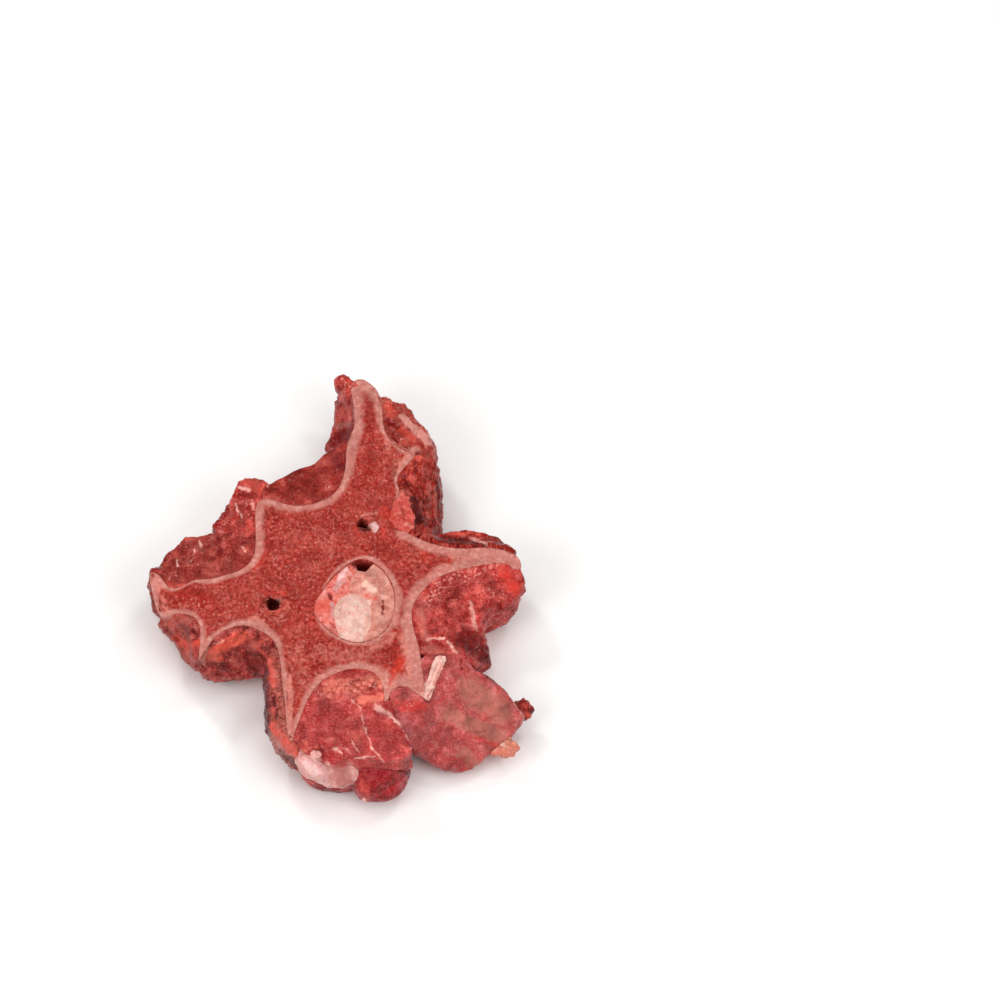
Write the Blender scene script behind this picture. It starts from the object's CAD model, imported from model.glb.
"""Raw beef neck bone slice: the sawn bone, the cord and fat in its canal, and the wet meat round it.

Blender 4.5. Lengths are metres, or millimetres times MM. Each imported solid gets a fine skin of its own,
with tissue marks stored on its points, and a wet raw finish made from noise and cell patterns.
"""

import math

import bmesh
import bpy
import numpy as np
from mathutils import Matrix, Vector, noise
from mathutils.bvhtree import BVHTree
from mathutils.geometry import delaunay_2d_cdt
from mathutils.kdtree import KDTree


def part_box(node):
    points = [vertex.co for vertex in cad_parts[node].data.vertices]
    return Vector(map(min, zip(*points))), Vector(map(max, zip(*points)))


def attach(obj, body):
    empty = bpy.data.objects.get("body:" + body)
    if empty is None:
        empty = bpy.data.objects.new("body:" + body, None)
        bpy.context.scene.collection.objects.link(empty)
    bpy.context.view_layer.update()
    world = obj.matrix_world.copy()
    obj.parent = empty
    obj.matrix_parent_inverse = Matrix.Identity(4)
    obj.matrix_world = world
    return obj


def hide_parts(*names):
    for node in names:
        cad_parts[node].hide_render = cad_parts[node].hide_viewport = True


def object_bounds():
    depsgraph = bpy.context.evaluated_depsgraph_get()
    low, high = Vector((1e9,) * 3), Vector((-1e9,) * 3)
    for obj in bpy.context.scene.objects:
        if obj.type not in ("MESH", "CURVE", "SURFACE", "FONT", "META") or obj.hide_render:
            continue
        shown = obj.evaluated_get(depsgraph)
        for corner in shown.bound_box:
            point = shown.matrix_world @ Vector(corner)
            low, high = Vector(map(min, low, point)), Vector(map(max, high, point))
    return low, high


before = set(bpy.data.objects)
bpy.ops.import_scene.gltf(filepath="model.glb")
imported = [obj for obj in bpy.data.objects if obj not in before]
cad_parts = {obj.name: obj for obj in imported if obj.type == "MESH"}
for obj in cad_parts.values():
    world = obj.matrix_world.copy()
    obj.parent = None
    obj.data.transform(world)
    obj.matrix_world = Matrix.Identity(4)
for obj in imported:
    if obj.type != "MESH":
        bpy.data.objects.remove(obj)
solid_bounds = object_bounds()

MM = 0.001

# The sawn faces and the plan's origin, worked out from the bone's box
BONE_LOW, BONE_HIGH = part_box("vertebra")
SLICE = BONE_HIGH.z
LEFT_REACH = 70.93 * MM
LOWER_REACH = 63.37 * MM
PLAN_ORIGIN = Vector((BONE_LOW.x + LEFT_REACH, BONE_LOW.y + LOWER_REACH, SLICE))

# How the photograph sees the slice: one pixel's real size, and the pixel over the plan's origin
PIXEL = 0.37 * MM
ORIGIN_PIXEL = (342, 590)
CENTRE_PIXEL = (500, 500)
PICTURE_PIXELS = 1000
EYE_ANGLE = math.radians(60)
LENS = 800.0
SENSOR = 36.0
TOWARDS_EYE = np.array((0.0, -math.cos(EYE_ANGLE), math.sin(EYE_ANGLE)))

# Fineness of the skins
MEAT_VOXEL = 0.5 * MM
SMALL_VOXEL = 0.42 * MM
FINEST_VOXEL = 0.3 * MM
BONE_GRID = 0.5 * MM
BONE_EDGE = 0.6 * MM
UNDERSIDE_GRID = 1.0 * MM
WALL_STEP = 1.4 * MM

# Neighbouring tissues grow together: how far a skin sinks into its neighbour
SINK = 0.12 * MM

# Torn tissue rises to the edge of the bone: between which depths, how near the bone, and to what depth
RISE_DEPTHS = (11 * MM, 6 * MM)
RISE_REACH = (1.5 * MM, 6 * MM)
RISEN_DEPTH = 0.35 * MM

TISSUES = ("pale", "warm", "dark", "grey", "crumb")

# Strands and crumbs stand up and dark hollows lie lower: how much, in millimetres
STAND = {"pale": 0.22, "warm": 0.15, "dark": -0.35}

# What the wet film mirrors of the bright room, as a part of white
SHEEN = 0.008


def linear(channel):
    """One sRGB channel from 0 to 1 as linear light."""
    return channel / 12.92 if channel <= 0.04045 else ((channel + 0.055) / 1.055) ** 2.4


def colour(code):
    """An sRGB hex colour as linear red, green, blue and alpha."""
    return (*(linear(int(code[i : i + 2], 16) / 255) for i in (1, 3, 5)), 1.0)


def tissue_colour(code):
    """A tissue's own colour: what the eye sees, less the sheen of its wet film."""
    return (*(max(0.006, channel - SHEEN) for channel in colour(code)[:3]), 1.0)


def put_in(name, data):
    """A new object of the scene."""
    piece = bpy.data.objects.new(name, data)
    bpy.context.scene.collection.objects.link(piece)
    return piece


def smoothstep(low, high, value):
    """From 0 at low to 1 at high, with a soft start and end."""
    t = np.clip((value - low) / (high - low), 0.0, 1.0)
    return t * t * (3 - 2 * t)


def seen_at(points):
    """The photo pixel over which each point lies."""
    offset = points - np.array(PLAN_ORIGIN)
    up = offset[:, 1] * math.sin(EYE_ANGLE) + offset[:, 2] * math.cos(EYE_ANGLE)
    return np.stack([ORIGIN_PIXEL[0] + offset[:, 0] / PIXEL, ORIGIN_PIXEL[1] - up / PIXEL], axis=1)


def uneven(points, size, turn, octaves=3):
    """Smooth noise of about -1 to 1 at the points, with lumps of the given size."""
    shift = Vector((13.7, 5.3, 9.1)) * turn
    return np.array([noise.fractal(Vector(p) / size + shift, 1.0, 2.0, octaves) for p in points])


# Finishes

# Sockets of the Mix node for colours
FACTOR, UNDER, OVER, MIXED = 0, 6, 7, 2

# How strongly light bends in moist tissue and in the water on it
TISSUE_IOR = 1.38
WATER_IOR = 1.33

# How far light goes into raw meat, and its red, green and blue parts: the red goes deepest
LIGHT_DEPTH = 1.5 * MM
LIGHT_PARTS = (1.0, 0.3, 0.2)

# How far apart lie the crumbs, the open pores and the splinters that the saw leaves
CRUMB = 1.35 * MM
PORE = 1.9 * MM
SPLINTER = 3.1 * MM

# Sizes of the ragged edges of a tissue, and of the grains and patches that shade it
RAGS = 2.2 * MM
FINE_GRAIN = 1.1 * MM
BROAD_PATCH = 6 * MM


def add(tree, kind, inputs=None, output=0, **settings):
    """Adds a shader node with its settings and links, and gives one of its outputs."""
    node = tree.nodes.new("ShaderNode" + kind)
    for name, value in settings.items():
        setattr(node, name, value)
    for name, value in (inputs or {}).items():
        if isinstance(value, bpy.types.NodeSocket):
            tree.links.new(value, node.inputs[name])
        else:
            node.inputs[name].default_value = value
    return node.outputs[output]


class Finish:
    """A raw, wet finish under way: its material, its colour so far and its relief so far."""

    def __init__(self, name, base, roughness, depth, coat=0.25):
        self.material = bpy.data.materials.new(name)
        self.material.use_nodes = True
        self.tree = self.material.node_tree
        self.shader = self.tree.nodes["Principled BSDF"]
        self.place = add(self.tree, "TexCoord", output="Object")
        self.colour = tissue_colour(base)
        self.relief = 0.0
        for socket, value in (
            ("Roughness", roughness),
            ("IOR", TISSUE_IOR),
            ("Specular IOR Level", 0.1),
            ("Coat Weight", coat),
            ("Coat Roughness", 0.08),
            ("Coat IOR", WATER_IOR),
            ("Subsurface Weight", depth),
            ("Subsurface Radius", LIGHT_PARTS),
            ("Subsurface Scale", LIGHT_DEPTH),
        ):
            self.shader.inputs[socket].default_value = value

    def lay(self, pattern, start, full, code, amount=1.0):
        """Lays a colour on where the pattern runs from start to full, and gives how much of it shows."""
        limits = {"Value": pattern, "From Min": start, "From Max": full, "To Max": amount}
        share = add(self.tree, "MapRange", limits, interpolation_type="SMOOTHSTEP")
        shades = {FACTOR: share, UNDER: self.colour, OVER: tissue_colour(code)}
        self.colour = add(self.tree, "Mix", shades, MIXED, data_type="RGBA")
        return share

    def mottle(self, size, low, high, amount=1.0, stretch=(1, 1, 1), detail=3.0, warp=0.0, soft=0.13):
        """Darker and lighter patches of the given real size; a large soft blends them."""
        place = add(self.tree, "Mapping", {"Vector": self.place, "Scale": stretch})
        grain = {"Vector": place, "Scale": 1 / size, "Detail": detail, "Distortion": warp}
        patches = add(self.tree, "TexNoise", grain | {"Roughness": 0.55})
        self.lay(patches, 0.49, 0.49 - soft, low, amount)
        self.lay(patches, 0.51, 0.51 + soft, high, amount)
        return patches

    def raise_by(self, pattern, amount):
        """Raises the relief by the pattern times the amount."""
        heights = {0: pattern, 1: amount, 2: self.relief}
        self.relief = add(self.tree, "Math", heights, operation="MULTIPLY_ADD")

    def drifting_place(self, size, drift):
        """A place that drifts by a part of the size, so that round cells come out uneven."""
        turns = add(self.tree, "TexNoise", {"Vector": self.place, "Scale": 0.7 / size}, "Color")
        turns = add(self.tree, "VectorMath", {0: turns, "Scale": drift * size}, operation="SCALE")
        return add(self.tree, "VectorMath", {0: self.place, 1: turns}, operation="ADD")

    def shade_unevenly(self, size, spread):
        """Makes the colour so far lighter and darker in grains of the given real size."""
        grain = {"Vector": self.place, "Scale": 1 / size, "Detail": 3.0, "Distortion": 0.4}
        grains = add(self.tree, "TexNoise", grain)
        limits = {"Value": grains, "From Min": 0.3, "From Max": 0.7, "To Min": 1 - spread}
        value = add(self.tree, "MapRange", limits | {"To Max": 1 + spread})
        self.colour = add(self.tree, "HueSaturation", {"Value": value, "Color": self.colour})

    def lay_tissues(self, fine=0.14, broad=0.34, ragged=1.5, **codes):
        """Lays on the tissues that the points carry, ragged at the edge, then shades everything."""
        grain = {"Vector": self.place, "Scale": 1 / RAGS, "Detail": 3.0, "Distortion": 0.5}
        rags = add(self.tree, "TexNoise", grain)
        for tissue, code in codes.items():
            marked = add(self.tree, "Attribute", output="Fac", attribute_name=tissue)
            edge = add(self.tree, "Math", {0: rags, 1: ragged, 2: marked}, operation="MULTIPLY_ADD")
            self.lay(edge, 0.1 + ragged / 2, 1.05 + ragged / 2, code)
        self.shade_unevenly(FINE_GRAIN, fine)
        self.shade_unevenly(BROAD_PATCH, broad)

    def crumbs(self, light, dark, everywhere=0.0):
        """Wet crumbs of fat and bone that the saw has smeared on, thick where they are marked."""
        tree = self.tree
        marked = add(tree, "Attribute", output="Fac", attribute_name="crumb")
        away = add(tree, "TexVoronoi", {"Vector": self.drifting_place(CRUMB, 1.4), "Scale": 1 / CRUMB})
        sizes = add(tree, "TexNoise", {"Vector": self.place, "Scale": 1 / (3 * MM), "Detail": 3.0})
        reach = add(tree, "Math", {0: marked, 1: 0.64, 2: 2 * everywhere}, operation="MULTIPLY_ADD")
        edge = add(tree, "Math", {0: sizes, 1: reach}, operation="MULTIPLY")
        share = add(tree, "Math", {0: edge, 1: away}, operation="SUBTRACT")
        between = add(tree, "Math", {0: away, 1: marked}, operation="MULTIPLY")
        self.lay(between, 0.4, 0.75, dark, 0.6)
        self.raise_by(self.lay(share, -0.1, 0.1, light, 0.65), 0.7)

    def done(self, bump=0.6, reach=0.35 * MM, beads=0.3):
        """Joins the colour and the relief to the shader; the film of water is uneven by itself too."""
        tree = self.tree
        tree.links.new(self.colour, self.shader.inputs["Base Color"])
        ridges = add(tree, "Bump", {"Height": self.relief, "Strength": bump, "Distance": reach})
        water = add(tree, "TexNoise", {"Vector": self.place, "Scale": 1 / (0.55 * MM), "Detail": 2.0})
        film = {"Height": water, "Strength": beads, "Distance": 0.25 * MM, "Normal": ridges}
        tree.links.new(ridges, self.shader.inputs["Normal"])
        tree.links.new(add(tree, "Bump", film), self.shader.inputs["Coat Normal"])
        return self.material


def spongy_bone():
    """Spongy bone, sawn across: a net of fine pink struts in red marrow with dark open pores, and a pale
    dense rim. The saw leaves it flat and only moist, so it shines in small points."""
    finish = Finish("sawn_spongy_bone", "#A73D35", 0.5, 0.05, coat=0.15)
    tree = finish.tree
    rim = add(tree, "Attribute", output="Fac", attribute_name="rim")
    inner = add(tree, "MapRange", {"Value": rim, "From Min": 0.95, "From Max": 1.3})
    finish.mottle(8 * MM, "#97302A", "#B25148", 0.8, soft=0.16)
    net = finish.mottle(2.4 * MM, "#8C2B26", "#BB5F56", 0.7, warp=0.8, soft=0.2)
    # The finest struts, drawn a little coarser than they are so that they show
    struts = finish.mottle(1.1 * MM, "#882A26", "#C56F66", 0.75, (1.15, 0.85, 1), 2.5, soft=0.22)
    # Open pores, dark where the marrow has left them, in loose crowds
    cells = {"Vector": finish.drifting_place(PORE, 1.1), "Scale": 1 / PORE}
    away = add(tree, "TexVoronoi", cells)
    crowds = add(tree, "TexNoise", {"Vector": finish.place, "Scale": 1 / (6 * MM), "Detail": 2.0})
    open_pore = add(tree, "Math", {0: crowds, 1: 1.4, 2: -0.48}, operation="MULTIPLY_ADD")
    open_pore = add(tree, "Math", {0: open_pore, 1: away}, operation="SUBTRACT")
    depth = add(tree, "Math", {0: inner, 1: 0.75}, operation="MULTIPLY")
    pores = finish.lay(open_pore, -0.08, 0.1, "#821E18", depth)
    # Splinters of bone that shine out of the marrow
    cells = {"Vector": finish.drifting_place(SPLINTER, 1.2), "Scale": 1 / SPLINTER}
    away = add(tree, "TexVoronoi", cells)
    shine = add(tree, "Math", {0: inner, 1: 0.5}, operation="MULTIPLY")
    splinters = finish.lay(away, 0.14, 0.07, "#E29A8F", shine)
    finish.lay_tissues(0.3, 0.06, warm="#C83E32", dark="#8E221B", grey="#93564A", pale="#D27D70")
    finish.crumbs("#DF988C", "#8A201A")
    # Dense bone along the outline and round the openings
    wander = add(tree, "TexNoise", {"Vector": finish.place, "Scale": 1 / (4.5 * MM), "Detail": 2.5})
    edge = add(tree, "Math", {0: wander, 1: 1.3, 2: rim}, operation="MULTIPLY_ADD")
    dense = finish.lay(edge, 2.15, 1.2, "#C67F74", 0.92)
    grain = add(tree, "TexNoise", {"Vector": finish.place, "Scale": 1 / (1.5 * MM), "Detail": 5.0})
    finish.lay(grain, 0.5, 0.3, "#B4685D", dense)
    finish.lay(grain, 0.5, 0.7, "#D6988C", dense)
    finish.shade_unevenly(7 * MM, 0.12)
    # Shreds of muscle on the outer walls
    marked = add(tree, "Attribute", output="Fac", attribute_name="shreds")
    shreds = finish.lay(marked, 0.1, 0.9, "#A8443B", 0.9)
    finish.lay(grain, 0.5, 0.36, "#7A2722", shreds)
    finish.lay(grain, 0.54, 0.68, "#CC6C63", shreds)
    for hole, code in (("pore", "#6E1814"), ("hollow", "#6A1511")):
        finish.lay(add(tree, "Attribute", output="Fac", attribute_name=hole), 0.0, 1.0, code)
    finish.raise_by(pores, -0.45)
    finish.raise_by(splinters, 0.3)
    finish.raise_by(shreds, 0.8)
    for pattern, height in ((net, 0.4), (struts, 0.35)):
        finish.raise_by(pattern, add(tree, "Math", {0: inner, 1: height}, operation="MULTIPLY"))
    return finish.done(0.6, 0.3 * MM)


def raw_muscle(name, base, low, high, wide=4.5, gloss=0.34, fibres=(1, 1, 1), crumbs=0.0, **tissues):
    """Raw lean beef, sawn or torn: bundles of fine red fibres, darker and lighter, under a film of water
    that makes them deep in colour and gives small sharp glints."""
    finish = Finish(name, base, gloss, 0.1)
    finish.mottle(wide * MM, low, high, detail=4.0, warp=0.5)
    # Fibres are about a tenth of a millimetre thick; their bundles are drawn coarse enough to show
    fine = finish.mottle(0.7 * MM, low, high, 0.7, fibres)
    along = add(finish.tree, "Mapping", {"Vector": finish.place, "Scale": (0.35, 1.0, 0.6)})
    grain = {"Vector": along, "Scale": 1 / (1.6 * MM), "Detail": 4.0, "Distortion": 1.5}
    strands = add(finish.tree, "TexNoise", grain | {"Roughness": 0.6})
    strands = finish.lay(strands, 0.6, 0.72, high, 0.45)
    colours = {"warm": "#D4554A", "grey": "#A5625A", "dark": "#761A17", "pale": "#E2A297"}
    finish.lay_tissues(**(colours | tissues))
    finish.crumbs("#E89A8F", "#8E1F1B", crumbs)
    finish.raise_by(fine, 0.6)
    finish.raise_by(strands, 0.8)
    return finish.done(0.65, 0.4 * MM)


def soft_tissue(name, base, low, high, roughness=0.32, depth=0.18, lump=2.5, **tissues):
    """Raw fat, sinew or membrane, cut and moist: soft lobules that let light in and shine smoothly."""
    finish = Finish(name, base, roughness, depth, coat=0.4)
    finish.mottle(lump * MM, low, high, detail=4.0, warp=0.6)
    lobule = 0.8 * lump * MM
    cells = {"Vector": finish.drifting_place(lobule, 0.9), "Scale": 1 / lobule}
    lobules = add(finish.tree, "TexVoronoi", cells, feature="SMOOTH_F1")
    fine = finish.mottle(0.6 * MM, low, high, 0.4)
    colours = {"warm": "#DE5F52", "grey": "#B08074", "dark": "#7C1612", "pale": "#F2CFC2"}
    finish.lay_tissues(0.07, 0.14, **(colours | tissues))
    finish.crumbs("#F3B3A6", "#A83A31")
    finish.raise_by(lobules, -0.6)
    finish.raise_by(fine, 0.35)
    return finish.done(0.5, 0.4 * MM)


# Skins


class Skin:
    """A closed surface under way: rows of points, its faces and its edges."""

    def __init__(self, points, faces, edges=None):
        self.points = np.asarray(points, float)
        self.faces = faces
        self.edges = edges

    def normals(self):
        """The unit normal at each point, from the faces round it."""
        total = np.zeros_like(self.points)
        for faces in self.faces:
            corners = self.points[faces]
            across = corners[:, 2] - corners[:, 0]
            other = corners[:, -1] - corners[:, 1]
            face_normals = np.cross(across, other)
            for corner in range(faces.shape[1]):
                for axis in range(3):
                    total[:, axis] += np.bincount(
                        faces[:, corner], weights=face_normals[:, axis], minlength=len(total)
                    )
        return total / np.maximum(np.linalg.norm(total, axis=1, keepdims=True), 1e-12)

    def relax(self, rounds, strength=0.5):
        """Smooths the steps that the remeshing leaves, and keeps the volume."""
        first, second = self.edges[:, 0], self.edges[:, 1]
        count = np.bincount(self.edges.ravel(), minlength=len(self.points))[:, None]
        for factor in (strength, -strength * 1.04) * rounds:
            total = np.empty_like(self.points)
            for axis in range(3):
                total[:, axis] = np.bincount(
                    first, weights=self.points[second, axis], minlength=len(total)
                ) + np.bincount(second, weights=self.points[first, axis], minlength=len(total))
            self.points += factor * (total / np.maximum(count, 1) - self.points)

    def object(self, name, material):
        """The skin as a smooth shaded object of the scene."""
        data = bpy.data.meshes.new(name)
        faces = [tuple(face) for group in self.faces for face in group.tolist()]
        data.from_pydata(self.points.tolist(), [], faces)
        data.shade_smooth()
        data.materials.append(material)
        return put_in(name, data)


def voxel_skin(node, voxel):
    """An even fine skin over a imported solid."""
    rough = put_in("rough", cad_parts[node].data.copy())
    remesh = rough.modifiers.new("skin", "REMESH")
    remesh.mode = "VOXEL"
    remesh.voxel_size = voxel
    graph = bpy.context.evaluated_depsgraph_get()
    mesh = bpy.data.meshes.new_from_object(rough.evaluated_get(graph))
    points = np.empty(len(mesh.vertices) * 3)
    mesh.vertices.foreach_get("co", points)
    faces = np.empty(len(mesh.loops), int)
    mesh.loops.foreach_get("vertex_index", faces)
    edges = np.empty(len(mesh.edges) * 2, int)
    mesh.edges.foreach_get("vertices", edges)
    bpy.data.objects.remove(rough)
    bpy.data.meshes.remove(mesh)
    skin = Skin(points.reshape(-1, 3), [faces.reshape(-1, 4)], edges.reshape(-1, 2))
    skin.relax(4)
    return skin


def surface_of(nodes):
    """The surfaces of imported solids, to find the nearest place on."""
    points, faces = [], []
    for name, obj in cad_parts.items():
        if name in nodes:
            start = len(points)
            points += [vert.co for vert in obj.data.vertices]
            faces += [tuple(start + i for i in polygon.vertices) for polygon in obj.data.polygons]
    return BVHTree.FromPolygons(points, faces)


bone_surface = surface_of({"vertebra"})


def close_gaps(skin, node, reach):
    """Draws the skin onto its neighbours where they are near, and gives how near they are."""
    others = surface_of(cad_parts.keys() - {node})
    near = np.zeros(len(skin.points))
    for i, point in enumerate(skin.points):
        found, _, _, distance = others.find_nearest(point, reach)
        if found is None or distance < 1e-6:
            continue
        near[i] = 1 - smoothstep(0.6 * reach, reach, distance)
        skin.points[i] += (np.array(found) - point) * (1 + SINK / distance) * near[i]
    return near


def stored_tissues(points, facing, marks):
    """How much of each tissue the points carry, from marks along short lines in the photo."""
    seen = seen_at(points)
    # Tissue wanders, so no mark is straight
    for axis in (0, 1):
        seen[:, axis] += 1.6 * uneven(points, 3.2 * MM, 6 + axis, 2)
        seen[:, axis] += 0.8 * uneven(points, 0.9 * MM, 11 + axis, 1)
    amounts = {tissue: np.zeros(len(points)) for tissue in TISSUES}
    for tissue, lines in marks.items():
        for *ends, radius, amount in lines:
            start, end = np.array(ends[:2], float), np.array(ends[-2:], float)
            line = end - start
            along = np.clip(((seen - start) @ line) / max(line @ line, 1e-9), 0, 1)[:, None]
            away = np.linalg.norm(seen - start - along * line, axis=1)
            strength = amount * (1 - smoothstep(0.3 * radius, 1.4 * radius, away)) * facing
            amounts[tissue] = np.maximum(amounts[tissue], strength)
    return amounts


def store(piece, values):
    """Stores named numbers on the piece's points."""
    for name, numbers in values.items():
        layer = piece.data.attributes.new(name, "FLOAT", "POINT")
        layer.data.foreach_set("value", np.asarray(numbers, np.float32))


def settle(piece, slot, *nodes):
    """Says what the piece rides on, stands for and is made of."""
    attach(piece, "root")
    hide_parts(*nodes)


def dress(
    node, material, slot, lump=0.5, size=6.0, fine=0.12, voxel=MEAT_VOXEL,
    sawn=False, reach=2.0, rise=0.0, grow=0.0,
):
    """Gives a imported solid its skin: closed on its neighbours, lumpy where torn and even where sawn."""
    skin = voxel_skin(node, voxel)
    # The tissue rises to the edge of the bone, and what fills an opening swells up all over
    heights = skin.points[:, 2]
    high = smoothstep(SLICE - RISE_DEPTHS[0], SLICE - RISE_DEPTHS[1], heights)
    swell = np.zeros(len(heights))
    for i in np.flatnonzero(high):
        _, _, _, away = bone_surface.find_nearest(Vector(skin.points[i]), RISE_REACH[1] + 1 * MM)
        swell[i] = 0 if away is None else 1 - smoothstep(*RISE_REACH, away)
    swell = high * np.maximum(swell, rise)
    skin.points[:, 2] += swell * np.maximum(SLICE - RISEN_DEPTH - heights, 0)
    if grow:
        skin.points += skin.normals() * high[:, None] * grow * MM
    near = close_gaps(skin, node, reach * MM)
    normals = skin.normals()
    turn = sum(map(ord, node)) % 17 + 1
    free = (1 - near) * smoothstep(0.3 * MM, 2.0 * MM, skin.points[:, 2])
    if sawn:
        level = smoothstep(0.8, 0.95, normals[:, 2])
        level *= smoothstep(SLICE - 4 * MM, SLICE - 2 * MM, skin.points[:, 2])
        free *= 1 - 0.75 * level
    push = uneven(skin.points, size * MM, turn) * lump
    push += uneven(skin.points, 1.8 * MM, turn + 3, 2) * fine
    skin.points += normals * (push * free * MM)[:, None]
    facing = smoothstep(-0.3, 0.05, skin.normals() @ TOWARDS_EYE)
    tissues = stored_tissues(skin.points, facing, MARKS[node])
    stand = sum(height * tissues[tissue] for tissue, height in STAND.items())
    skin.points += normals * (stand * MM)[:, None]
    skin.points[:, 2] = np.clip(skin.points[:, 2], 0.0, solid_bounds[1][2])
    piece = skin.object(node + "_skin", material)
    store(piece, tissues)
    settle(piece, slot, node)


# The bone


def sawn_loops(up):
    """The outlines of one sawn face, longest first, each anticlockwise from its highest y."""
    mesh = bmesh.new()
    mesh.from_mesh(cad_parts["vertebra"].data)
    bmesh.ops.remove_doubles(mesh, verts=mesh.verts, dist=1e-6)
    waiting = set()
    for edge in mesh.edges:
        level = [face.normal.z * up > 0.99 for face in edge.link_faces]
        if sum(level) == 1 and len(level) == 2:
            waiting.add(edge)
    loops = []
    while waiting:
        edge = waiting.pop()
        loop = [edge.verts[0], edge.verts[1]]
        while loop[-1] != loop[0]:
            edge = next(link for link in loop[-1].link_edges if link in waiting)
            waiting.discard(edge)
            loop.append(edge.other_vert(loop[-1]))
        points = np.array([vert.co[:2] for vert in loop[:-1]])
        following = np.roll(points, -1, axis=0)
        if np.sum(points[:, 0] * following[:, 1] - following[:, 0] * points[:, 1]) < 0:
            points = points[::-1]
        loops.append(np.roll(points, -int(np.argmax(points[:, 1])), axis=0))
    mesh.free()
    loops.sort(key=lambda loop: -np.sum(np.linalg.norm(loop - np.roll(loop, 1, axis=0), axis=1)))
    return loops


def curve_through(loop, places):
    """Points of a smooth closed curve through the loop, at fractions of its point numbers."""
    index = np.floor(places).astype(int)
    t = (places - index)[:, None]
    a, b, c, d = (loop[(index + k - 1) % len(loop)] for k in range(4))
    return (2 * b + (c - a) * t + (2 * a - 5 * b + 4 * c - d) * t**2 + (3 * b - a - 3 * c + d) * t**3) / 2


def even_places(loop, step):
    """Places along the loop a step apart."""
    lengths = np.linalg.norm(np.roll(loop, -1, axis=0) - loop, axis=1)
    walked = np.concatenate([[0], np.cumsum(lengths)])
    targets = np.linspace(0, walked[-1], max(12, round(walked[-1] / step)), endpoint=False)
    return np.interp(targets, walked, np.arange(len(walked)))


def inside_rows(loops, step):
    """Points of a staggered grid that lie on the bone."""
    starts = np.concatenate(loops)
    ends = np.concatenate([np.roll(loop, -1, axis=0) for loop in loops])
    low, high = loops[0].min(axis=0), loops[0].max(axis=0)
    rows = []
    for row, y in enumerate(np.arange(low[1] + step / 2, high[1], step * math.sqrt(3) / 2)):
        crossing = (starts[:, 1] > y) != (ends[:, 1] > y)
        a, b = starts[crossing], ends[crossing]
        cuts = np.sort(a[:, 0] + (y - a[:, 1]) / (b[:, 1] - a[:, 1]) * (b[:, 0] - a[:, 0]))
        xs = np.arange(low[0] + row % 2 * step / 2, high[0], step)
        xs = xs[np.searchsorted(cuts, xs) % 2 == 1]
        rows.append(np.stack([xs, np.full(len(xs), y)], axis=1))
    return np.concatenate(rows)


def tree_of(points):
    """A tree of flat points, to find the nearest one in."""
    tree = KDTree(len(points))
    for i, (x, y) in enumerate(points):
        tree.insert((x, y, 0), i)
    tree.balance()
    return tree


def distances(tree, points):
    """How far each flat point is from the nearest one in the tree."""
    return np.array([tree.find((x, y, 0))[2] for x, y in points])


def bone_face(loops, step):
    """The inner points and the triangles of one sawn face; the loops' points come first."""
    grid = inside_rows(loops, step)
    edge_points = np.concatenate(loops)
    grid = grid[distances(tree_of(edge_points), grid) > 0.6 * step]
    edges, start = [], 0
    for loop in loops:
        edges += [(start + i, start + (i + 1) % len(loop)) for i in range(len(loop))]
        start += len(loop)
    flat = [Vector(point) for point in np.concatenate([edge_points, grid])]
    spots, _, faces, origins, _, _ = delaunay_2d_cdt(flat, edges, [], 1, 1e-9)
    faces = [face for face in faces if len(face) == 3]
    # Where two edges cross at a sharp corner there is a point more
    crossings = [i for i, origin in enumerate(origins) if not origin]
    lookup = np.array([origin[0] if origin else 0 for origin in origins])
    lookup[crossings] = len(flat) + np.arange(len(crossings))
    grid = np.concatenate([grid, np.array([spots[i] for i in crossings]).reshape(-1, 2)])
    faces = lookup[np.array(faces)]
    places = np.concatenate([edge_points, grid])
    # Triangles inside a hole have all their corners on that hole's loop
    keep = np.ones(len(faces), bool)
    start = len(loops[0])
    for loop in loops[1:]:
        own = np.all((faces >= start) & (faces < start + len(loop)), axis=1)
        centre = loop.mean(axis=0)
        reach = np.linalg.norm(loop - centre, axis=1).min()
        middle = places[faces].mean(axis=1)
        keep &= ~(own & (np.linalg.norm(middle - centre, axis=1) < reach * 1.6))
        start += len(loop)
    return grid, faces[keep]


def rim_width(seen, usual, changes):
    """The dense rim's width by the photo pixels where it is seen."""
    width = np.full(len(seen), usual)
    for x, y, reach, more in changes:
        away = np.linalg.norm(seen - (x, y), axis=1)
        width += more * MM * np.exp(-((away / reach) ** 2))
    return np.maximum(width, LEAST_RIM)


def rim_share(points, outline, canal):
    """Distance from the nearest edge as a share of the dense rim's width there."""
    seen = seen_at(np.column_stack([points, np.full(len(points), SLICE)]))
    outer = distances(tree_of(outline), points) / rim_width(seen, RIM, RIM_CHANGES)
    inner = distances(tree_of(canal), points) / rim_width(seen, CANAL_RIM, CANAL_RIM_CHANGES)
    return np.minimum(outer, np.maximum(inner, 0.5))


def pits(points):
    """Depth share of the larger open pores."""
    depth = np.zeros(len(points))
    crowd = 0.8 * uneven(points, 9 * MM, 8, 2)
    for i, point in enumerate(points):
        cell = Vector((point[0] * 1.25, point[1] * 0.85, point[2])) / (2.4 * MM)
        (near, _, _, _), (centre, _, _, _) = noise.voronoi(cell)
        chance = noise.cell(centre * 7.3)
        size = 0.2 + 0.26 * abs(noise.cell(centre * 3.1 + Vector((5, 2, 1))))
        if chance > 0.2 - crowd[i]:
            depth[i] = 1 - smoothstep(size * 0.5, size, math.sqrt(max(near, 0)))
    return depth


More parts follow.
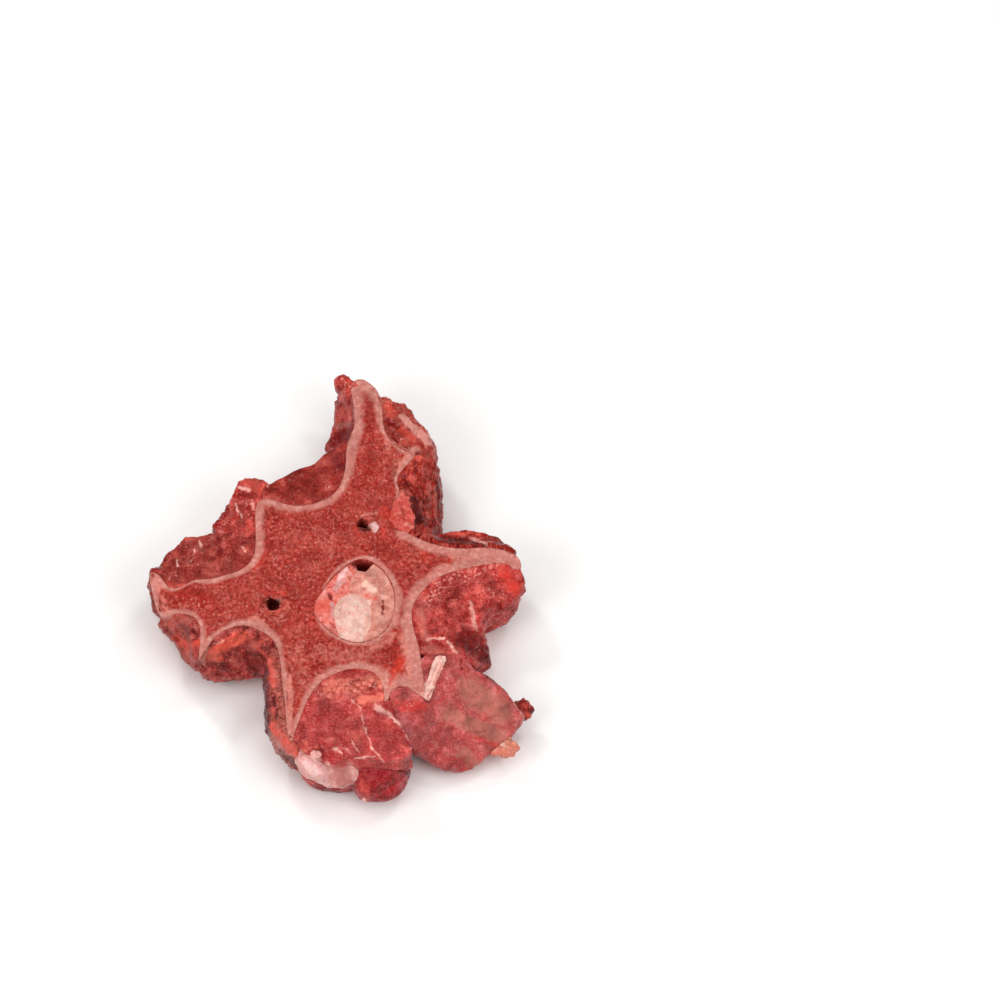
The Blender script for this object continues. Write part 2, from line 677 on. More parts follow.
# Depths of the rings of points on the walls; the sawn edges are a little blunt, the outline's more so
BLUNT_DEPTH = 0.4 * MM
WALL_LEVELS = np.concatenate(
    [[0.0, 0.12 * MM, BLUNT_DEPTH], np.arange(1.4 * MM, SLICE - 1 * MM, WALL_STEP), [SLICE]]
)
OUTER_BLUNT = 0.15 * MM
OPENING_BLUNT = 0.02 * MM


def wall_rings(top, bottom, outer):
    """Rings of points down one wall, from the upper sawn face to the lower one."""
    places = even_places(top, BONE_EDGE)
    high, low = curve_through(top, places), curve_through(bottom, places)
    along = np.roll(high, -1, axis=0) - np.roll(high, 1, axis=0)
    away = np.stack([along[:, 1], -along[:, 0]], axis=1)
    away /= np.linalg.norm(away, axis=1, keepdims=True)
    into_bone = -away if outer else away
    blunt = OUTER_BLUNT if outer else OPENING_BLUNT
    rings = []
    for depth in WALL_LEVELS:
        share = depth / SLICE
        inset = blunt * (1 - smoothstep(0, BLUNT_DEPTH, depth))
        flat = high * (1 - share) + low * share + into_bone * inset
        ring = np.column_stack([flat, np.full(len(flat), SLICE - depth)])
        if BLUNT_DEPTH < depth < SLICE:
            rough = uneven(ring, 3.5 * MM, 2) * 0.22 * MM
            ring[:, :2] -= into_bone * rough[:, None]
        rings.append(ring)
    return rings


def make_walls():
    """The walls of the outline and the openings: points, quads, and the first and last ring of each."""
    points, quads, first, last = [], [], [], []
    total = 0
    for number, (top, bottom) in enumerate(zip(sawn_loops(1), sawn_loops(-1))):
        rings = wall_rings(top, bottom, number == 0)
        rows = total + np.arange(len(rings) * len(rings[0])).reshape(len(rings), -1)
        total += rows.size
        points += rings
        for above, below in zip(rows, rows[1:]):
            quad = np.stack([below, np.roll(below, -1), np.roll(above, -1), above], axis=1)
            quads.append(quad if number == 0 else quad[:, ::-1])
        first.append(rows[0])
        last.append(rows[-1])
    return np.concatenate(points), np.concatenate(quads), first, last


def carve_face(place, shares, up):
    """Gives the inner points of a sawn face their pores, net and waves, and returns the pores' depth."""
    deep = pits(place) * smoothstep(1.0, 1.4, shares)
    net = uneven(place, 1.3 * MM, 4, 2) * 0.09 * smoothstep(0.8, 1.3, shares)
    wave = uneven(place, 14 * MM, 5, 2) * 0.12
    settle_in = smoothstep(0, 0.5, shares)
    place[:, 2] -= up * (deep * 0.28 + (net + wave + 0.12) * settle_in) * MM
    return deep


def shreds_left(points):
    """How thick the knife has left shreds of muscle on the outer walls, below the sawn edge."""
    ragged = uneven(points, 7 * MM, 21, 4) + uneven(points, 1.6 * MM, 22, 2) * 0.4
    below = smoothstep(1.5 * MM, 5 * MM, SLICE - points[:, 2])
    return smoothstep(-0.45, 0.55, ragged) * below


def make_bone(material):
    """The sawn bone: two fine sawn faces joined by walls along the outline and the three openings."""
    points, quads, first, last = make_walls()
    faces = [quads]
    # Only the outline's wall is dense bone; in the openings the marrow shows
    outer = len(WALL_LEVELS) * len(first[0])
    rim = np.full(len(points), 2.0)
    rim[:outer] = 0.12
    pore = np.zeros(len(points))
    hollow = 0.9 * smoothstep(0.5 * MM, 5 * MM, SLICE - points[:, 2])
    hollow[:outer] = 0
    for rings, step, up in ((first, BONE_GRID, 1), (last, UNDERSIDE_GRID, -1)):
        loops = [points[ring][:, :2] for ring in rings]
        inner, triangles = bone_face(loops, step)
        index = np.concatenate([*rings, np.arange(len(points), len(points) + len(inner))])
        shares = rim_share(inner, loops[0], loops[1])
        place = np.column_stack([inner, np.full(len(inner), SLICE if up > 0 else 0.0)])
        deep = carve_face(place, shares, up)
        points = np.concatenate([points, place])
        rim = np.concatenate([rim, shares])
        pore = np.concatenate([pore, deep])
        hollow = np.concatenate([hollow, np.zeros(len(inner))])
        triangles = index[triangles]
        a, b, c = (points[triangles[:, k]][:, :2] for k in range(3))
        turned = (b[:, 0] - a[:, 0]) * (c[:, 1] - a[:, 1]) - (b[:, 1] - a[:, 1]) * (c[:, 0] - a[:, 0])
        wrong = turned * up < 0
        triangles[wrong] = triangles[wrong][:, ::-1]
        faces.append(triangles)
    points[:, 2] = np.clip(points[:, 2], 0, SLICE)
    skin = Skin(points, faces)
    piece = skin.object("bone", material)
    facing = smoothstep(0.5, 0.9, skin.normals()[:, 2])
    values = stored_tissues(points, facing, MARKS["vertebra"])
    shreds = np.zeros(len(points))
    shreds[:outer] = shreds_left(points[:outer])
    store(piece, values | {"shreds": shreds, "rim": rim, "pore": pore, "hollow": hollow})
    settle(piece, "bone", "vertebra")


# Where the dense rim is thicker or thinner: photo pixel, reach in pixels and millimetres more
RIM = 2.5 * MM
RIM_CHANGES = (
    (366, 386, 15, 2.2), (355, 440, 24, 0.9), (384, 440, 26, -1.2), (400, 480, 18, -1.6),
    (398, 510, 16, -1.8), (222, 575, 16, -0.7), (185, 585, 18, -1.9), (160, 605, 14, -1.2),
    (222, 632, 16, -0.6), (275, 660, 16, -1.6), (280, 700, 22, -2.2), (284, 740, 14, -2.2),
    (316, 700, 20, -0.3), (490, 562, 22, 1.6), (440, 548, 26, 0.6), (432, 580, 20, 0.9),
    (416, 620, 26, 1.2), (414, 670, 22, 2.0), (388, 690, 12, -1.0), (350, 666, 20, -0.2),
    (262, 625, 10, 0.8), (268, 646, 12, -1.4), (300, 506, 30, -0.2), (245, 574, 18, -0.8),
    (196, 620, 20, -0.8), (230, 632, 22, -0.5),
)
LEAST_RIM = 0.2 * MM
CANAL_RIM = 1.7 * MM
CANAL_RIM_CHANGES = (
    (312, 608, 18, -1.7), (322, 582, 14, -0.9), (398, 600, 20, 1.0), (352, 556, 14, -0.3),
    (340, 640, 16, -0.5),
)

# Marks of tissue, by piece: the ends of a short line in photo pixels, its radius in pixels and the amount.
# A round mark has one place instead of two ends.
MARKS = {
    "vertebra": dict(
        pale=[(368, 386, 9, 0.8), (402, 533, 412, 536, 8, 1), (420, 543, 450, 549, 5, 0.7),
            (455, 553, 500, 555, 8, 0.95), (508, 553, 516, 564, 7, 1), (440, 572, 424, 592, 7, 0.85),
            (420, 596, 414, 626, 7, 0.85), (406, 640, 414, 660, 9, 0.9), (414, 660, 412, 686, 9, 1),
            (396, 600, 396, 625, 4, 0.6), (372, 648, 392, 636, 6, 0.65), (320, 652, 366, 656, 10, 0.4),
            (291, 676, 291, 728, 3.5, 0.85), (302, 736, 304, 748, 3, 0.6), (400, 688, 426, 693, 4, 0.9),
            (156, 576, 158, 588, 5, 1), (163, 598, 170, 612, 5, 0.5), (254, 620, 264, 626, 7, 0.6),
            (404, 462, 412, 456, 7, 0.9), (398, 474, 401, 468, 3, 0.7), (386, 436, 388, 448, 4, 0.5),
            (357, 412, 354, 426, 1.6, 0.8), (340, 668, 372, 668, 3, 0.4), (385, 690, 384, 700, 3, 0.4),
            (404, 664, 397, 678, 1.6, 0.45), (300, 652, 306, 688, 9, 0.35),
            (264, 604, 266, 612, 2.2, 0.45), (270, 618, 284, 620, 2.5, 0.5),
            (287, 600, 289, 612, 2.5, 0.5), (358, 516, 378, 513, 2.5, 0.5)],
        warm=[(172, 598, 208, 600, 8, 0.55), (276, 735, 298, 752, 7, 0.9), (402, 660, 392, 684, 7, 0.9),
            (384, 512, 396, 522, 6, 0.7), (262, 545, 260, 565, 5, 0.6), (268, 668, 276, 690, 5, 0.55),
            (310, 605, 313, 622, 5, 0.35), (508, 580, 516, 590, 6, 0.8), (428, 556, 446, 562, 7, 0.45),
            (300, 690, 300, 720, 5, 0.35), (385, 697, 376, 702, 4, 0.6), (434, 566, 450, 558, 4, 0.4),
            (266, 594, 284, 592, 3, 0.5), (356, 524, 360, 536, 3, 0.5), (384, 520, 383, 536, 4, 0.5)],
        dark=[(176, 598, 210, 598, 8, 0.6), (369, 400, 370, 470, 6, 0.5), (382, 650, 398, 646, 7, 0.55),
            (402, 600, 406, 620, 4, 0.35), (433, 553, 433, 556, 1.6, 1), (438, 567, 1.8, 0.9),
            (362, 657, 366, 660, 2, 0.6), (382, 658, 388, 660, 2.5, 0.8), (196, 590, 206, 594, 3, 0.6),
            (203, 608, 2.5, 0.8), (281, 694, 281, 712, 2.5, 0.8), (366, 440, 377, 455, 4, 0.3),
            (366, 395, 372, 470, 5, 0.45), (362, 486, 384, 504, 16, 0.3), (168, 596, 206, 592, 3, 0.6),
            (210, 612, 4, 0.5)],
        grey=[(283, 684, 283, 718, 5, 1), (396, 462, 394, 478, 5, 0.5), (384, 634, 396, 626, 5, 0.3)],
        crumb=[(386, 656, 400, 684, 6, 0.6), (172, 600, 206, 604, 7, 0.8), (206, 630, 232, 616, 7, 0.6),
            (300, 690, 303, 728, 4, 0.5), (430, 548, 472, 546, 4, 0.45), (402, 560, 428, 570, 6, 0.35),
            (262, 640, 272, 660, 6, 0.4)],
    ),
    "meat_left_edge": dict(
        pale=[(268, 492, 273, 478, 4, 1), (240, 487, 250, 490, 2, 0.8), (236, 504, 242, 518, 1.3, 1),
            (252, 500, 254, 510, 1.5, 0.7)],
        warm=[(244, 478, 262, 490, 7, 0.9), (248, 540, 250, 522, 5, 0.6)],
        dark=[(238, 495, 248, 494, 3, 0.8), (248, 530, 244, 524, 5, 0.3)],
        crumb=[(247, 505, 254, 518, 6, 0.9), (222, 530, 232, 520, 6, 0.6)],
    ),
    "meat_left": dict(
        pale=[(199, 541, 202, 545, 1.4, 0.9), (177, 561, 178, 566, 1.3, 0.9),
            (192, 562, 196, 548, 1, 0.7), (241, 546, 246, 551, 1, 0.9)],
        warm=[(185, 538, 205, 534, 3, 0.6), (162, 570, 178, 553, 3.5, 0.6), (248, 548, 252, 556, 4, 0.4),
            (168, 584, 186, 588, 4, 0.6)],
        dark=[(219, 538, 220, 552, 3, 0.9), (178, 580, 183, 583, 2.5, 0.6)],
        grey=[(184, 562, 200, 548, 7, 0.35)],
        crumb=[(190, 566, 198, 564, 2, 0.9), (224, 558, 228, 561, 2, 0.9), (165, 578, 182, 574, 4, 0.7),
            (150, 572, 200, 540, 16, 0.25)],
    ),
    "meat_upper_left": dict(
        warm=[(286, 466, 320, 450, 3, 0.35), (329, 459, 3, 0.4)],
        dark=[(330, 452, 342, 470, 10, 0.7), (324, 472, 325, 480, 3, 0.4)],
        crumb=[(325, 488, 331, 487, 2, 0.9), (280, 500, 320, 502, 3, 0.5)],
    ),
    "meat_hook": dict(
        warm=[(182, 644, 199, 644, 6, 1), (176, 636, 190, 650, 5, 0.8), (164, 612, 172, 626, 4, 0.6)],
        dark=[(194, 630, 198, 634, 3, 1), (168, 630, 178, 640, 3, 0.6), (192, 640, 198, 638, 2, 0.7)],
        grey=[(176, 622, 192, 622, 9, 0.4)],
    ),
    "meat_lower_left": dict(
        pale=[(204, 648, 224, 640, 1.2, 0.5)],
        warm=[(214, 652, 242, 636, 7, 1), (208, 656, 220, 658, 5, 1), (252, 636, 262, 642, 5, 0.5),
            (197, 656, 203, 666, 4, 0.8), (246, 634, 268, 656, 3, 0.6)],
        dark=[(238, 654, 256, 662, 9, 0.6), (196, 668, 212, 682, 4, 0.5), (250, 668, 262, 668, 4, 0.6)],
        grey=[(228, 660, 236, 648, 6, 0.3), (205, 678, 250, 682, 4, 0.5)],
        crumb=[(229, 658, 234, 664, 2.5, 0.9)],
    ),
    "side_tissue": dict(
        warm=[(274, 726, 292, 748, 6, 0.9), (272, 660, 274, 684, 5, 0.7), (292, 744, 300, 756, 5, 0.9),
            (274, 706, 276, 712, 3, 0.6)],
        dark=[(274, 696, 275, 704, 2.5, 0.9), (278, 708, 277, 718, 2, 0.8), (282, 752, 296, 764, 4, 0.8),
            (262, 690, 263, 728, 2, 0.7)],
        grey=[(263, 668, 265, 732, 8, 1)],
    ),
    "meat_bottom": dict(
        pale=[(304, 757, 322, 758, 3, 0.7), (328, 763, 332, 776, 5, 0.6), (377, 706, 392, 715, 3, 0.9),
            (392, 715, 402, 724, 2, 1), (402, 724, 412, 744, 1.3, 1), (412, 744, 415, 752, 1.3, 1),
            (353, 699, 361, 707, 0.9, 0.85), (361, 707, 364, 724, 0.8, 0.8), (364, 724, 374, 748, 1, 0.8),
            (374, 748, 384, 760, 1.2, 0.8), (336, 747, 342, 752, 1.6, 1), (344, 746, 352, 752, 1, 0.9),
            (352, 740, 360, 750, 0.9, 0.8), (356, 756, 376, 756, 1.2, 0.8)],
        warm=[(330, 688, 386, 680, 10, 0.85), (362, 699, 384, 696, 5, 1), (306, 740, 314, 756, 4, 0.5),
            (350, 722, 360, 745, 8, 0.25), (300, 752, 316, 746, 4, 0.6)],
        dark=[(371, 687, 375, 684, 3, 1), (352, 682, 360, 678, 2, 0.6), (362, 692, 368, 688, 1.5, 0.5),
            (394, 716, 408, 745, 6, 0.45), (314, 762, 322, 750, 4, 0.6), (316, 786, 345, 796, 4, 0.9),
            (318, 716, 324, 732, 6, 0.3), (374, 722, 396, 746, 11, 0.45), (382, 700, 396, 706, 4, 0.3)],
        grey=[(312, 764, 352, 768, 7, 0.3), (350, 765, 354, 782, 6, 0.8)],
        crumb=[(322, 690, 384, 682, 10, 0.9), (306, 706, 316, 728, 8, 0.45)],
    ),
    "meat_lower_right": dict(
        pale=[(512, 698, 524, 718, 1.2, 0.8)],
        warm=[(396, 705, 424, 706, 7, 0.75), (478, 738, 496, 742, 5, 0.7), (430, 745, 470, 772, 5, 0.45),
            (436, 702, 444, 698, 3, 0.5)],
        dark=[(488, 674, 503, 682, 4, 1), (503, 682, 522, 708, 4, 1), (462, 658, 462, 668, 2, 0.7),
            (430, 700, 436, 690, 4, 0.3), (466, 732, 486, 730, 1.5, 0.5), (476, 690, 481, 699, 1.2, 0.5)],
        grey=[(470, 688, 500, 712, 16, 0.95), (448, 714, 500, 735, 10, 0.9),
            (462, 750, 475, 764, 8, 0.7)],
        crumb=[(442, 664, 456, 700, 10, 0.6), (396, 700, 424, 706, 6, 0.6)],
    ),
    "meat_right": dict(
        pale=[(470, 602, 476, 630, 2.5, 0.7), (428, 639, 444, 637, 1.4, 1), (448, 641, 454, 650, 1.6, 1),
            (454, 650, 462, 659, 1.2, 0.9)],
        warm=[(504, 570, 516, 590, 8, 0.9)],
        dark=[(454, 612, 464, 640, 7, 0.45), (428, 632, 440, 630, 3, 0.5), (466, 638, 494, 660, 12, 0.9),
            (480, 612, 486, 604, 3, 0.6), (436, 590, 450, 600, 5, 0.25), (492, 668, 498, 676, 3, 1)],
        grey=[(420, 612, 424, 634, 5, 0.9), (424, 648, 446, 655, 5, 0.8)],
        crumb=[(428, 600, 446, 580, 7, 0.95), (446, 580, 496, 566, 8, 0.9), (480, 590, 498, 598, 9, 0.6),
            (450, 596, 462, 604, 7, 0.5), (478, 648, 484, 652, 2, 0.8)],
    ),
    "meat_upper_right": dict(
        warm=[(402, 474, 414, 478, 6, 0.3), (412, 455, 432, 458, 5, 0.5), (424, 452, 430, 450, 3, 0.7)],
        dark=[(414, 500, 420, 522, 6, 0.9), (438, 480, 440, 520, 3, 0.7), (423, 500, 425, 525, 2, 0.5),
            (406, 484, 412, 490, 4, 0.4)],
        grey=[(428, 478, 430, 520, 3, 0.5), (436, 486, 437, 520, 2, 0.8)],
        crumb=[(410, 466, 412, 462, 2, 0.7), (412, 505, 416, 500, 2.5, 0.8)],
    ),
    "fat_tag": dict(
        pale=[(398, 498, 403, 490, 3, 0.5), (406, 524, 422, 530, 3, 0.5)],
        warm=[(388, 510, 396, 524, 5, 0.6)],
        dark=[(402, 508, 404, 518, 2, 0.5)],
    ),
    "ligament": dict(
        pale=[(402, 417, 414, 428, 4, 1), (414, 428, 428, 442, 5, 0.95), (401, 456, 414, 450, 5, 0.8),
            (401, 439, 1.5, 1)],
        warm=[(387, 405, 394, 413, 5, 0.9), (398, 428, 412, 438, 4, 1), (386, 412, 390, 418, 3, 0.7),
            (404, 442, 418, 446, 3, 0.6)],
        dark=[(387, 420, 397, 427, 3.5, 1), (391, 430, 396, 441, 3, 0.9), (403, 447, 408, 450, 2, 0.5)],
        grey=[(412, 411, 432, 432, 2, 0.8)],
        crumb=[(386, 404, 398, 412, 6, 0.5)],
    ),
    "side_strip": dict(
        warm=[(338, 378, 348, 390, 8, 0.8), (344, 398, 348, 420, 6, 0.5)],
        dark=[(338, 388, 346, 384, 2.5, 0.7), (338, 380, 2.5, 0.7), (332, 442, 352, 432, 7, 1),
            (336, 400, 336, 416, 2, 0.4)],
        grey=[(336, 426, 348, 424, 4, 0.9), (352, 400, 354, 414, 3, 0.6)],
        crumb=[(337, 376, 347, 388, 7, 0.95)],
    ),
    "meat_sliver": dict(
        pale=[(470, 538, 486, 543, 1.5, 0.7)],
        warm=[(410, 527, 424, 533, 5, 0.8), (440, 533, 480, 534, 2, 0.7)],
        dark=[(440, 540, 466, 540, 5, 0.6), (472, 542, 484, 545, 1.5, 1)],
    ),
    "spinal_cord": dict(
        warm=[(348, 612, 360, 616, 1.6, 0.35), (362, 600, 366, 610, 3, 0.25),
            (340, 628, 348, 634, 2, 0.5)],
        grey=[(341, 598, 340, 616, 1.5, 0.6)],
    ),
    "canal_fat": dict(
        pale=[(366, 584, 374, 590, 5, 0.8), (364, 603, 370, 603, 3, 1)],
        warm=[(364, 596, 376, 597, 2.5, 0.9), (368, 614, 366, 604, 1.5, 0.5)],
        dark=[(384, 600, 383, 614, 1.5, 0.9), (362, 563, 368, 566, 3, 0.5)],
        grey=[(364, 570, 376, 574, 5, 0.7), (378, 606, 382, 622, 5, 0.45), (384, 580, 384, 592, 3, 0.7)],
    ),
    "canal_vein": dict(
        pale=[(340, 578, 348, 570, 3, 0.9)],
        warm=[(316, 606, 330, 606, 8, 0.9), (332, 592, 340, 590, 3, 0.9), (348, 590, 356, 576, 3, 0.5),
            (326, 620, 336, 632, 3, 0.6)],
        dark=[(329, 594, 332, 598, 2.5, 1), (354, 564, 362, 566, 4, 1), (350, 580, 353, 572, 1.3, 0.6)],
        grey=[(336, 590, 346, 572, 5, 0.8), (332, 604, 334, 616, 2.5, 0.9)],
    ),
    "vessel_left": dict(
        pale=[(282, 600, 286, 602, 2, 0.5)],
        warm=[(280, 612, 286, 606, 4, 0.4)],
        dark=[(270, 602, 278, 604, 5, 1)],
    ),
    "vessel_right": dict(
        pale=[(373, 526, 378, 530, 4.5, 1)],
        warm=[(362, 518, 374, 518, 2, 0.6)],
        dark=[(360, 526, 368, 530, 3, 0.8)],
    ),
    "fat_pad": dict(
        pale=[(308, 762, 316, 770, 6, 0.7), (330, 760, 334, 772, 3, 0.4)],
        warm=[(303, 770, 306, 776, 3, 0.3)],
        dark=[(320, 790, 350, 794, 3, 0.35)],
        grey=[(338, 764, 346, 784, 11, 1), (330, 758, 332, 786, 4, 0.6)],
    ),
    "meat_bottom_lump": dict(
        pale=[(364, 798, 366, 801, 1.6, 0.9)],
        warm=[(362, 772, 366, 790, 7, 0.5)],
        dark=[(380, 790, 402, 770, 6, 0.5), (406, 762, 409, 774, 3, 0.8)],
    ),
    "tendon": dict(
        warm=[(443, 661, 434, 684, 1.4, 0.9), (438, 660, 430, 682, 1, 0.6)],
        dark=[(446, 662, 437, 684, 0.9, 0.8), (432, 688, 428, 697, 2, 0.7)],
    ),
    "edge_nub": dict(
        warm=[(524, 712, 528, 716, 3, 0.6)],
        dark=[(530, 708, 534, 716, 2.5, 0.7)],
    ),
    "fat_flap": dict(
        pale=[(500, 742, 506, 746, 3, 0.5)],
        warm=[(490, 738, 496, 744, 3, 0.6), (484, 750, 515, 754, 2, 0.4)],
        grey=[(500, 732, 512, 740, 2, 0.6)],
    ),
}


def make_flesh():
    """The meat, fat and sinew."""
    # Lean beef that the saw has cut: even and dark, with fine cut fibres
    sawn_red = raw_muscle("sawn_lean_beef", "#95312B", "#842621", "#A94E46", wide=6.0)
    sawn_left = raw_muscle("sawn_beef_with_crumbs", "#93362F", "#7D211D", "#AE5149", crumbs=0.04)
    # The wide muscle in front: brighter red, with fat between its bundles
    red = raw_muscle(
        "lean_beef", "#AC3F3D", "#942A28", "#C45A55", crumbs=0.03, warm="#D9705F", grey="#C07A73"
    )
    # Torn beef: rough, with pink ends of fibres over dark hollows
    edge = raw_muscle("torn_beef_edge", "#A43A33", "#851E1B", "#C95F59", crumbs=0.05)
    # The cut end of a small round muscle, dried a little and browner
    disc = raw_muscle("cut_muscle_end", "#99403A", "#822A26", "#B1544C", dark="#6A1613", warm="#C84A3C")
    # Beef low under the bone, with orange bone smear on its ridge
    low = raw_muscle(
        "low_beef", "#A03A36", "#701A19", "#C76058", crumbs=0.04, warm="#E0604E", dark="#6A1412"
    )
    # Beef full of flecks of fat and bone from the saw
    speckled = raw_muscle(
        "speckled_beef", "#B0403C", "#8F211F", "#CC5F57", crumbs=0.07,
        warm="#C63C34", dark="#6B1512", grey="#CC6C60",
    )
    # Beef in the shade between the arms, dark red with long strands
    dark = raw_muscle(
        "dark_beef", "#93281F", "#6C110A", "#BE544A", crumbs=0.05, fibres=(1.0, 0.3, 1.0), dark="#50100D"
    )
    # Beef under its own thin skin: smooth, pinker, and brownish where the skin is thick
    covered = raw_muscle(
        "beef_under_membrane", "#B24D49", "#A2423F", "#C6696A", crumbs=0.02, gloss=0.3,
        warm="#C63F3A", grey="#B0665A",
    )
    # A lump soaked with blood: deep red and smooth, so it shines most
    blood = raw_muscle("blood_red_lump", "#98262A", "#7C1519", "#B84649", gloss=0.24, dark="#5C0F12")
    # Loose tissue with holes, brown where it has dried
    web = soft_tissue(
        "spongy_connective_tissue", "#98493F", "#722722", "#C2675B", lump=1.6,
        grey="#633338", dark="#5E1512",
    )
    # Beef fat, still firm: pink-white, waxy, and grey where a thin skin covers it
    fat = soft_tissue(
        "raw_fat", "#E3A6A0", "#D68F89", "#EDBBB5", depth=0.25,
        grey="#BC726C", dark="#6E3A32", pale="#F4CBC6",
    )
    # Sinew: white bands in red tissue
    sinew = soft_tissue(
        "sinew", "#A23E35", "#7F2822", "#C2665B", grey="#9A5C55", pale="#CD887D", warm="#C24738"
    )
    gristle = soft_tissue(
        "pink_gristle", "#CB554B", "#AE3C33", "#E0716A", lump=2.0, pale="#EE9C8E", warm="#C44A3C"
    )
    flap = soft_tissue("orange_flap", "#CB7966", "#B96353", "#DC917C", lump=1.8, grey="#8C5A50")
    white_sinew = soft_tissue(
        "white_sinew", "#E9B7AA", "#D79A8C", "#F3CFC4", lump=1.2, dark="#A84E44", warm="#D08678"
    )
    # The cord's cut end: the palest and softest tissue, so light goes deepest into it
    nerve = soft_tissue("spinal_cord_tissue", "#E6B8AA", "#E0A698", "#ECCABD", roughness=0.3, depth=0.3)
    # Fat round the cord: softer and yellower than the fat outside
    canal_fat = soft_tissue(
        "canal_fat", "#D38A7B", "#BE6F60", "#E3A494", lump=3.0, grey="#B0776B", pale="#EFC0AE"
    )
    # Thin walls of vessels: stained by blood, bluish white where they are doubled
    vein = soft_tissue(
        "vein_wall", "#E27D71", "#C8544A", "#F09C92", lump=2.0, grey="#D29A97", pale="#F3BDB9"
    )
    vessel = soft_tissue(
        "vessel_wall", "#A8433A", "#85261F", "#C76558", lump=1.5, dark="#430705", pale="#E3B4AD"
    )

    dress("meat_upper_left", sawn_red, "muscle", lump=0.5, sawn=True)
    dress("meat_left_edge", edge, "muscle", lump=1.2, size=4.5, fine=0.45)
    dress("meat_left", sawn_left, "muscle", lump=0.9, fine=0.3, sawn=True)
    dress("meat_hook", disc, "muscle", lump=0.8, size=4.5, fine=0.3)
    dress("meat_lower_left", low, "dark_muscle", lump=1.3, size=5.5, fine=0.4)
    dress("side_tissue", web, "tissue", lump=0.8, size=4.0, fine=0.35)
    dress("fat_pad", fat, "fat", lump=1.0, size=5.0, fine=0.2, grow=0.8)
    dress("meat_bottom_lump", blood, "muscle", lump=0.7, size=6.0)
    dress("meat_bottom", red, "muscle", lump=0.8, size=6.0, fine=0.2, voxel=SMALL_VOXEL, sawn=True)
    dress("meat_lower_right", covered, "muscle", lump=0.8, size=7.0, fine=0.2, reach=3.5)
    dress("meat_right", speckled, "muscle", lump=1.1, size=5.0, fine=0.45, reach=3.5)
    dress("meat_upper_right", dark, "dark_muscle", lump=1.2, size=5.0, fine=0.45)
    dress("meat_sliver", dark, "dark_muscle", lump=0.6, size=4.0)
    dress("side_strip", edge, "muscle", lump=0.5, size=3.0, fine=0.3, voxel=SMALL_VOXEL)
    dress("ligament", sinew, "ligament", lump=1.1, size=4.5, fine=0.4, voxel=SMALL_VOXEL)
    dress("fat_tag", gristle, "ligament", lump=1.0, size=3.5, fine=0.35, voxel=SMALL_VOXEL)
    dress("fat_flap", flap, "ligament", lump=0.8, size=3.5, fine=0.3, voxel=SMALL_VOXEL)
    dress("edge_nub", dark, "dark_muscle", lump=0.9, size=2.6, fine=0.3, voxel=SMALL_VOXEL)
    dress("tendon", white_sinew, "cord", lump=0.25, size=3.0, voxel=FINEST_VOXEL)
    dress(
        "spinal_cord", nerve, "cord",
        lump=0.35, size=6.0, fine=0.05, voxel=SMALL_VOXEL, reach=4.0, rise=0.65,
    )
    dress("canal_fat", canal_fat, "fat", lump=0.7, size=5.0, voxel=SMALL_VOXEL, reach=4.0, rise=0.65)
    dress(
        "canal_vein", vein, "vein",
        lump=0.7, size=4.0, fine=0.3, voxel=SMALL_VOXEL, reach=4.0, rise=0.65,
    )
    dress("vessel_left", vessel, "vein", lump=0.4, size=3.0, voxel=SMALL_VOXEL, rise=0.6)
    dress("vessel_right", vessel, "fat", lump=0.3, size=2.5, voxel=FINEST_VOXEL, rise=0.5)


# The studio


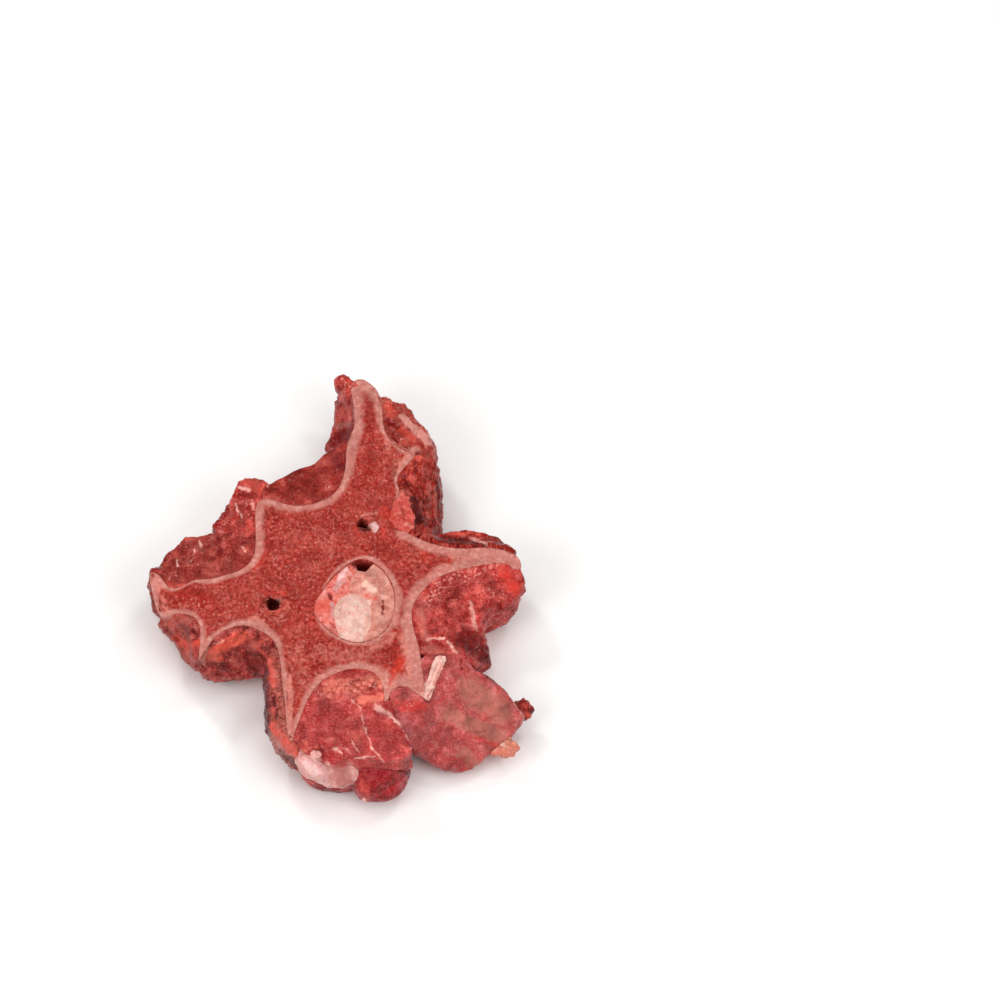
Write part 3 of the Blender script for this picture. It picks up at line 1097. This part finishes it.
def make_floor():
    """A plain pale table top."""
    data = bpy.data.meshes.new("floor")
    reach = 3.0
    corners = [(-reach, -reach, 0), (reach, -reach, 0), (reach, reach, 0), (-reach, reach, 0)]
    data.from_pydata(corners, [], [(0, 1, 2, 3)])
    floor = put_in("floor", data)
    material = bpy.data.materials.new("white_table_top")
    material.use_nodes = True
    shader = material.node_tree.nodes["Principled BSDF"]
    shader.inputs["Base Color"].default_value = colour("#FBFBFA")
    shader.inputs["Roughness"].default_value = 0.6
    shader.inputs["Specular IOR Level"].default_value = 0.2
    data.materials.append(material)


# Name, place in metres, width in metres and power in watts
LIGHTS = (
    ("front_left", (-0.9, -0.8, 1.25), 0.9, 9.6),
    ("front_right", (0.8, -0.8, 1.25), 0.9, 8.2),
    ("above", (0, -0.25, 1.6), 0.9, 6.8),
    ("glints_left", (-0.5, 0.6, 1.2), 0.2, 3.2),
    ("glints_right", (0.5, 0.35, 1.3), 0.2, 2.0),
)


def make_light(name, place, width, power):
    """A square light that looks at the middle of the table."""
    data = bpy.data.lights.new(name, "AREA")
    data.size = width
    data.energy = power
    light = put_in(name, data)
    light.location = place
    light.rotation_euler = (Vector((0, 0, 0)) - Vector(place)).to_track_quat("-Z", "Y").to_euler()


def make_lights():
    """Wide soft lights in front and above, two smaller ones that give the wet glints, and a pale room."""
    for light in LIGHTS:
        make_light(*light)
    world = bpy.data.worlds.new("studio")
    bpy.context.scene.world = world
    world.use_nodes = True
    back = world.node_tree.nodes["Background"]
    back.inputs["Color"].default_value = colour("#FFFFFF")
    back.inputs["Strength"].default_value = 0.3


def make_camera():
    """Looks down on the slice as the photograph does."""
    across = (CENTRE_PIXEL[0] - ORIGIN_PIXEL[0]) * PIXEL
    up = (ORIGIN_PIXEL[1] - CENTRE_PIXEL[1]) * PIXEL / math.sin(EYE_ANGLE)
    middle = PLAN_ORIGIN + Vector((across, up, 0))
    data = bpy.data.cameras.new("camera")
    data.lens = LENS
    data.sensor_width = SENSOR
    distance = PICTURE_PIXELS * PIXEL * LENS / SENSOR
    camera = put_in("camera", data)
    camera.location = middle + Vector(TOWARDS_EYE) * distance
    camera.rotation_euler = (math.pi / 2 - EYE_ANGLE, 0, 0)
    bpy.context.scene.camera = camera


def main():
    """Sets up the studio, makes the slice and writes how large it came out."""
    bpy.context.scene.view_settings.view_transform = "Standard"
    make_camera()
    make_lights()
    make_floor()
    make_bone(spongy_bone())
    make_flesh()


main()
